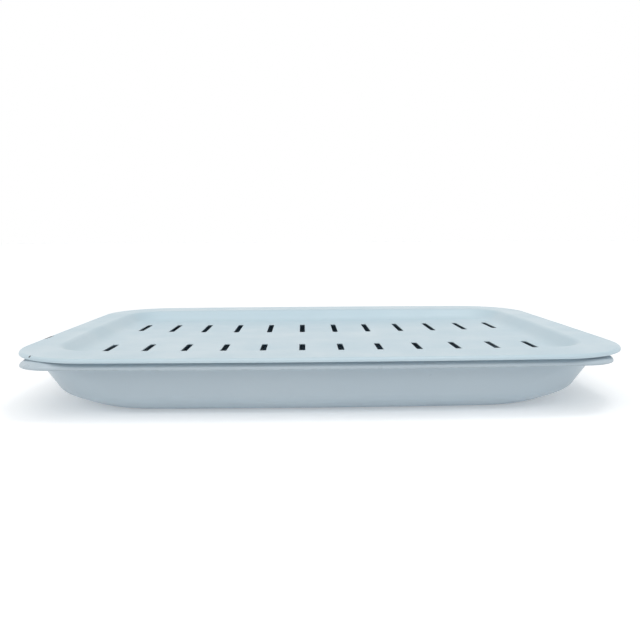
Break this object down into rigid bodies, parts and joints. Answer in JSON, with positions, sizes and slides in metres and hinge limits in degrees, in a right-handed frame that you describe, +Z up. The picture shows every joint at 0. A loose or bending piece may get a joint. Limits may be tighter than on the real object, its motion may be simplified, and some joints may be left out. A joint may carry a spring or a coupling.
{
  "type": "broiler pan",
  "caption": "Enamelled broiler pan: a deep drip pan with a falling rim, and a slotted grill with a sunken panel resting on it.",
  "frame": {"origin": "point of the table under the middle of the grill", "axes": "+X along the long side, to the right as the picture is taken; +Y away from the front; +Z up"},
  "size_m": [0.4188, 0.322, 0.041],
  "materials": {
    "pan_enamel": "glossy",
    "grill_enamel": "glossy"
  },
  "bodies": {
    "root": {"drip_pan": "pan_enamel", "slotted_grill": "grill_enamel"}
  },
  "joints": []
}
